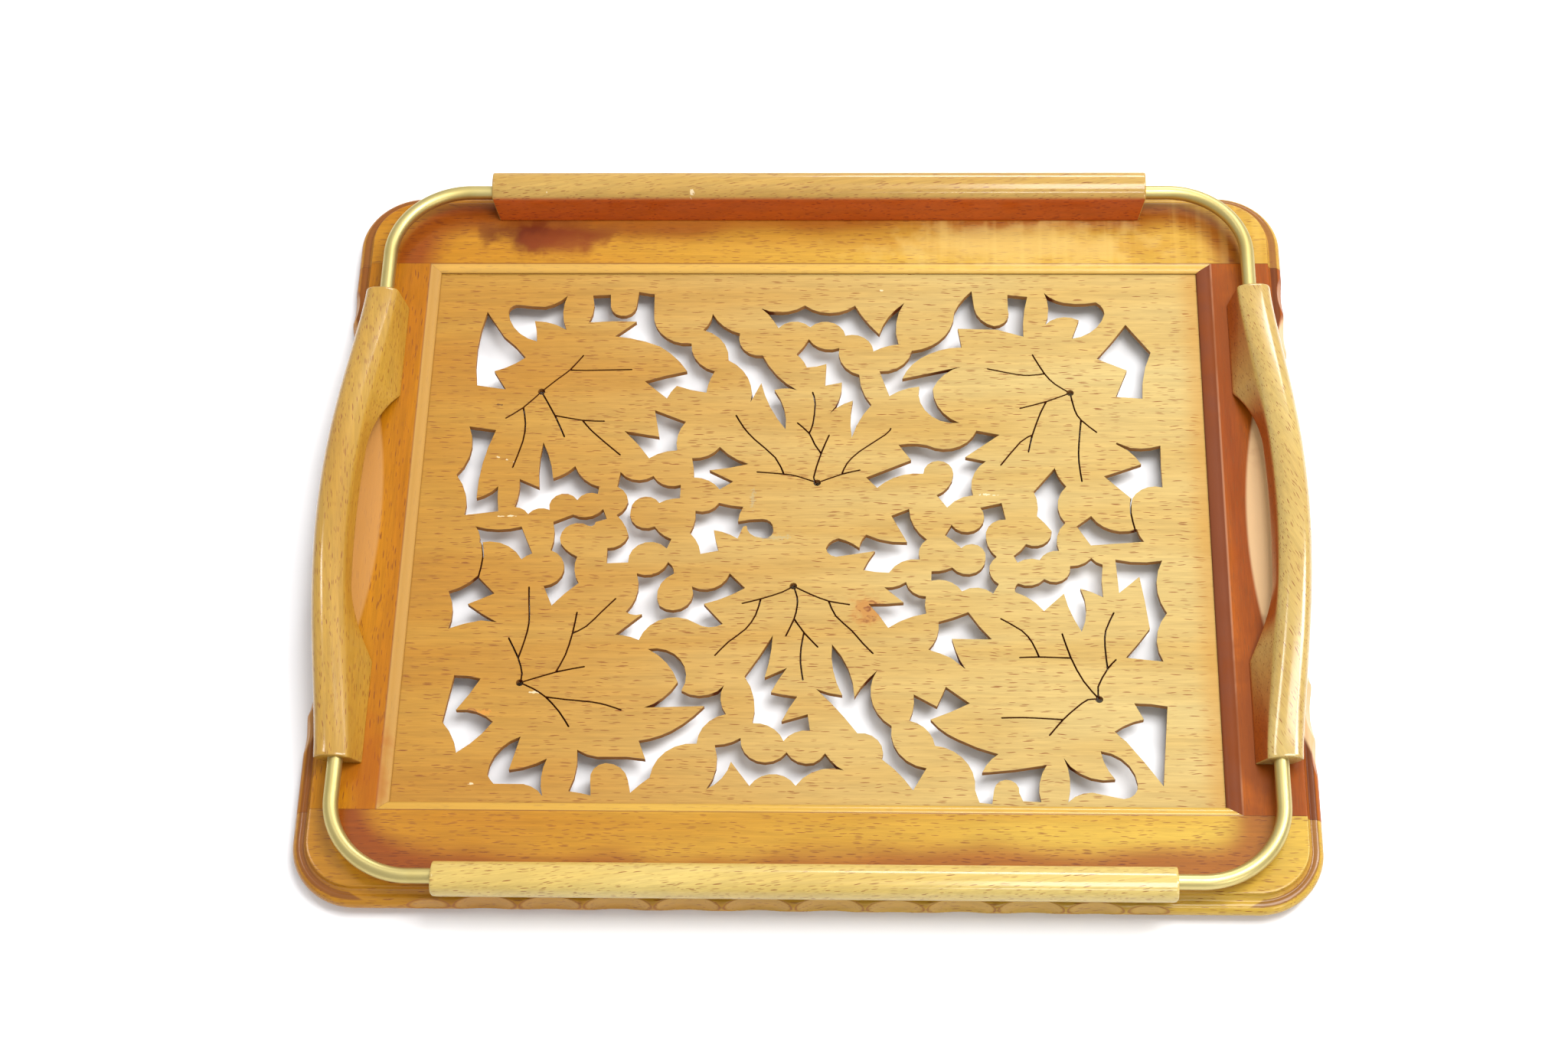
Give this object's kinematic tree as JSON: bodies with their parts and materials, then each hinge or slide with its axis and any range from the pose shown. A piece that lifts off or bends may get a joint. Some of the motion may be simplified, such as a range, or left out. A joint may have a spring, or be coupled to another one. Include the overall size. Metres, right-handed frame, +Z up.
{
  "type": "serving tray",
  "caption": "Wooden serving tray with a moulded frame, a fretwork leaf panel, and a low gallery of wooden bars and raised grips joined by bent metal rods.",
  "frame": {"origin": "middle of the underside: the centre of the outline in plan, on the surface that the tray stands on", "axes": "+X along the tray from the left grip to the right grip, +Y from the front rail to the back rail, +Z up"},
  "size_m": [0.4032, 0.3436, 0.0343],
  "materials": {
    "frame_beech": "satin lacquer",
    "panel_beech": "satin lacquer",
    "gallery_beech": "satin lacquer",
    "dowel_beech": "bare",
    "rod_brass": "satin",
    "screw_steel": "plated"
  },
  "bodies": {
    "root": {"front_rail": "frame_beech", "back_rail": "frame_beech", "left_stile": "frame_beech", "right_stile": "frame_beech", "fretwork_panel": "panel_beech", "front_bar": "gallery_beech", "back_bar": "gallery_beech", "left_grip": "gallery_beech", "right_grip": "gallery_beech", "corner_rod_front_left": "rod_brass", "corner_rod_front_right": "rod_brass", "corner_rod_back_left": "rod_brass", "corner_rod_back_right": "rod_brass", "dowel_front_left_1": "dowel_beech", "dowel_front_left_2": "dowel_beech", "dowel_front_right_1": "dowel_beech", "dowel_front_right_2": "dowel_beech", "dowel_back_left_1": "dowel_beech", "dowel_back_left_2": "dowel_beech", "dowel_back_right_1": "dowel_beech", "dowel_back_right_2": "dowel_beech", "bar_screw_front_1": "screw_steel", "bar_screw_front_2": "screw_steel", "bar_screw_front_3": "screw_steel", "bar_screw_back_1": "screw_steel", "bar_screw_back_2": "screw_steel", "bar_screw_back_3": "screw_steel", "grip_screw_left_front": "screw_steel", "grip_screw_left_back": "screw_steel", "grip_screw_right_front": "screw_steel", "grip_screw_right_back": "screw_steel"}
  },
  "joints": []
}
